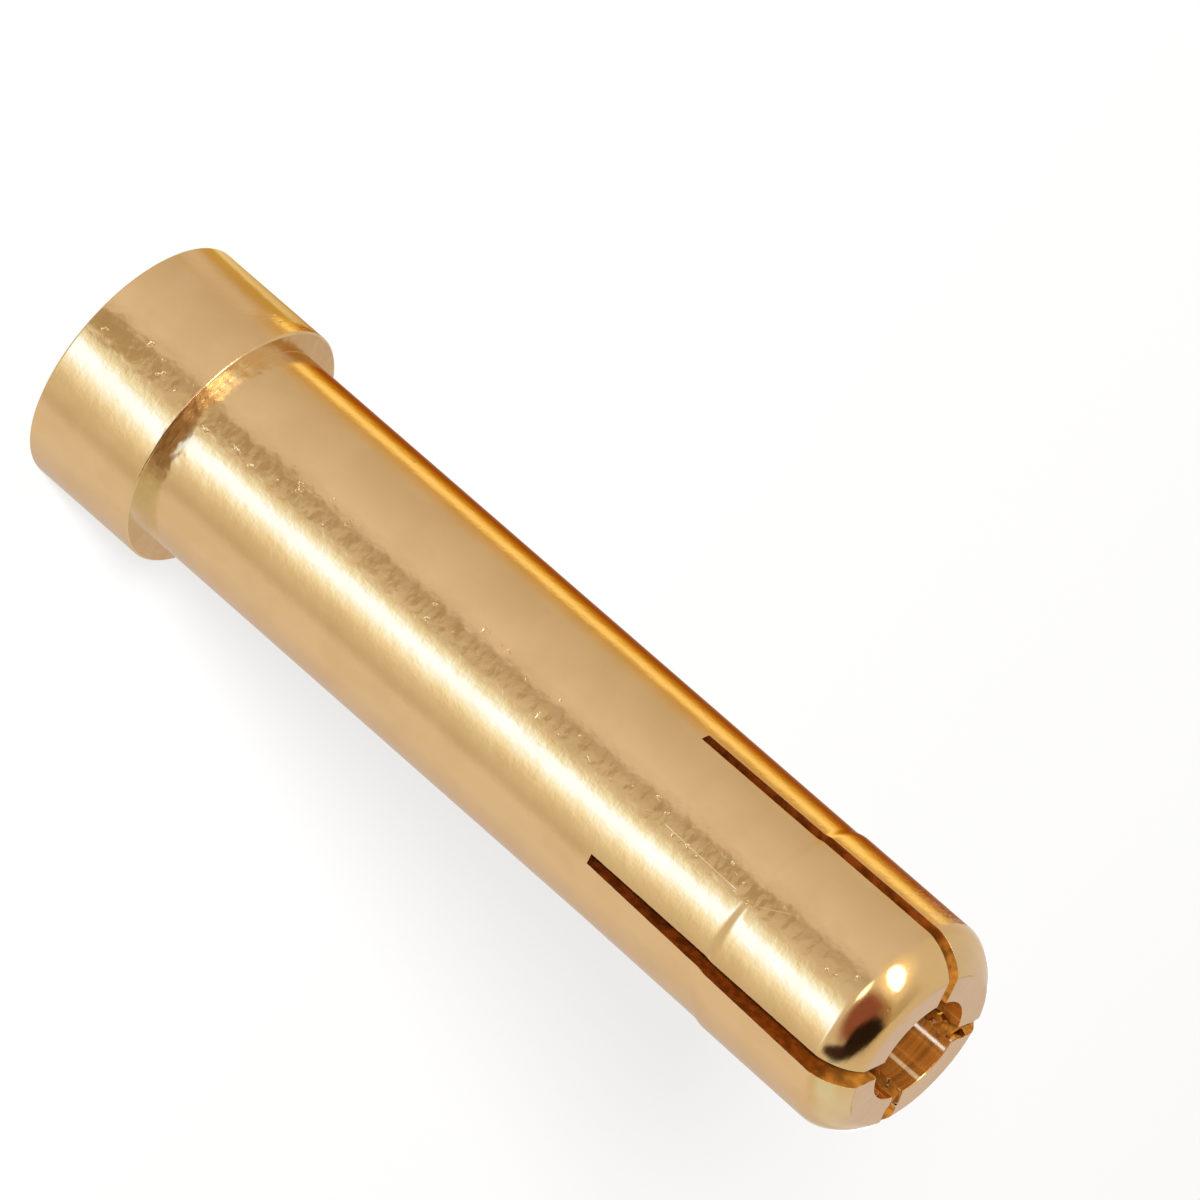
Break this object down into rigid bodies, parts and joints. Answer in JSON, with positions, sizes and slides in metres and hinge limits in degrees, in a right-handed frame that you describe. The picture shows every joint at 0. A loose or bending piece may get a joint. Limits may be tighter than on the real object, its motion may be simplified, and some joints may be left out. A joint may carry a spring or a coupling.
{
  "type": "battery bullet connector",
  "caption": "Gold-plated bullet connector turned in one piece: a collar with a round socket for a lead's plug, and a barrel with a slotted, rounded spring nose that plugs into a battery.",
  "frame": {"origin": "centre of the collar's flat end face, at the mouth of the socket", "axes": "+Z along the connector's axis from the collar to the slotted nose; the saw cuts lie in the XZ and YZ planes"},
  "size_m": [0.006, 0.006, 0.0234],
  "materials": {
    "gold_plate": "bright gold plate over fine-turned brass"
  },
  "bodies": {
    "root": {"slotted_connector": "gold_plate"}
  },
  "joints": []
}
